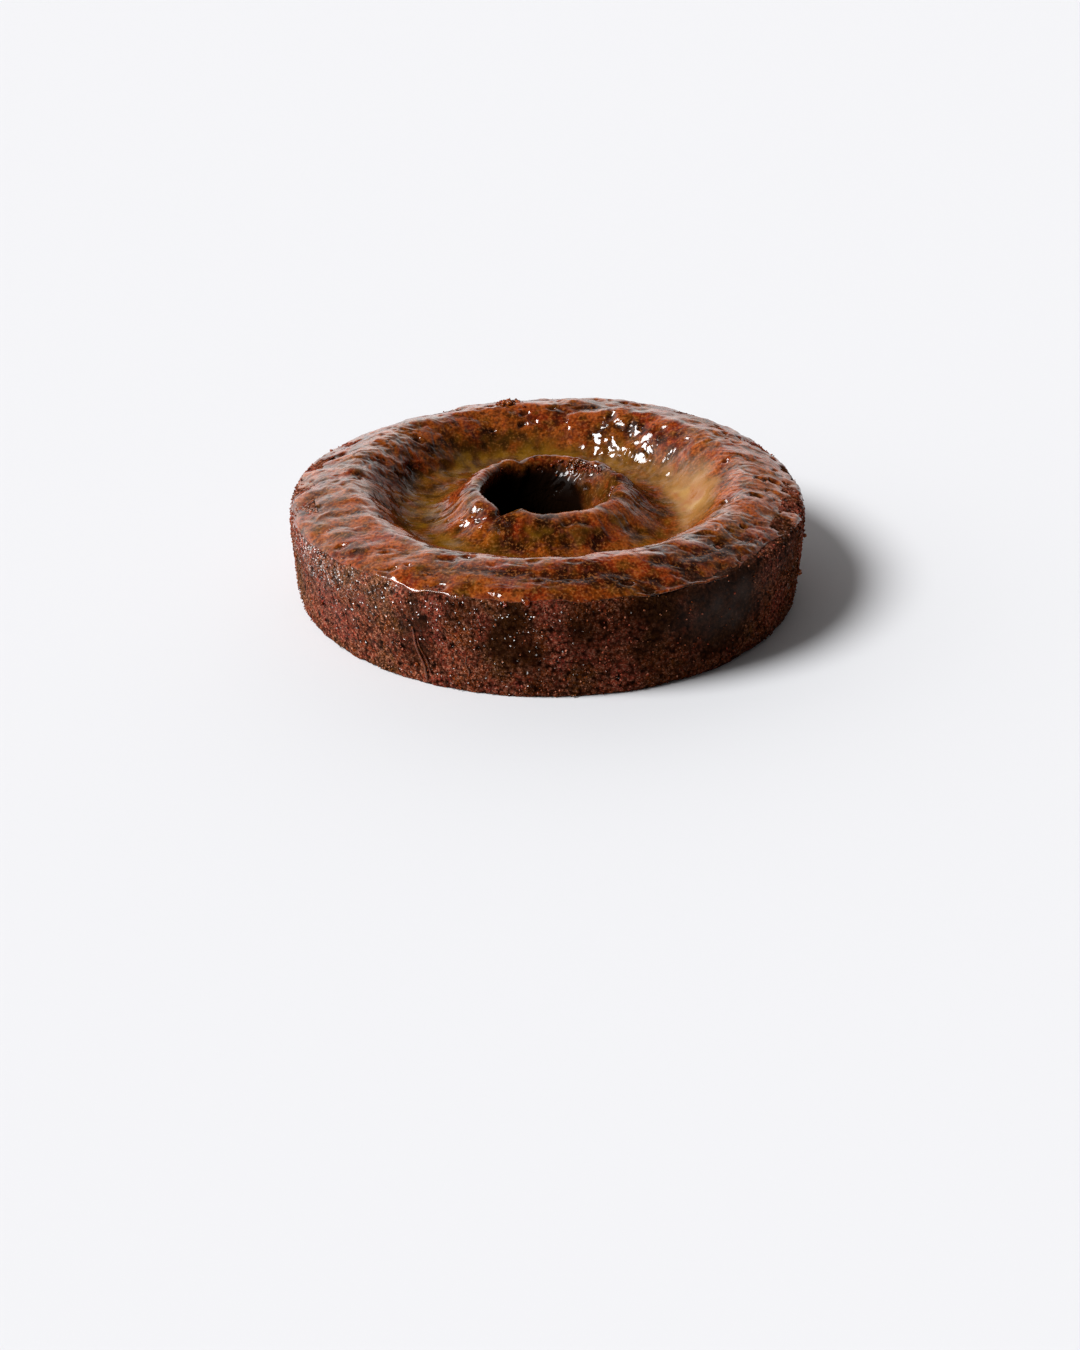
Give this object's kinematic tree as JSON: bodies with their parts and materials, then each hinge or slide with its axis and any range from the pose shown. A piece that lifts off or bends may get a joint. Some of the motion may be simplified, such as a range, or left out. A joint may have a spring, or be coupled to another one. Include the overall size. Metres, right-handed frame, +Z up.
{
  "type": "sticky toffee pudding",
  "caption": "Ring-shaped sticky date sponge pudding with a domed uneven rim, a sunken moat, a raised hub round a through hole and a thin toffee glaze.",
  "frame": {"origin": "centre of the flat base, on the surface that the pudding stands on", "axes": "+Z up through the hole, -Y the front as shown, +X to the right"},
  "size_m": [0.256, 0.256, 0.0583],
  "materials": {
    "toffee_sponge": "moist dark brown open crumb with fine pores, sticky to the touch",
    "toffee_glaze": "wet glossy toffee sauce soaked into the lumpy top crust"
  },
  "bodies": {
    "root": {"pudding": "toffee_sponge"}
  },
  "joints": []
}
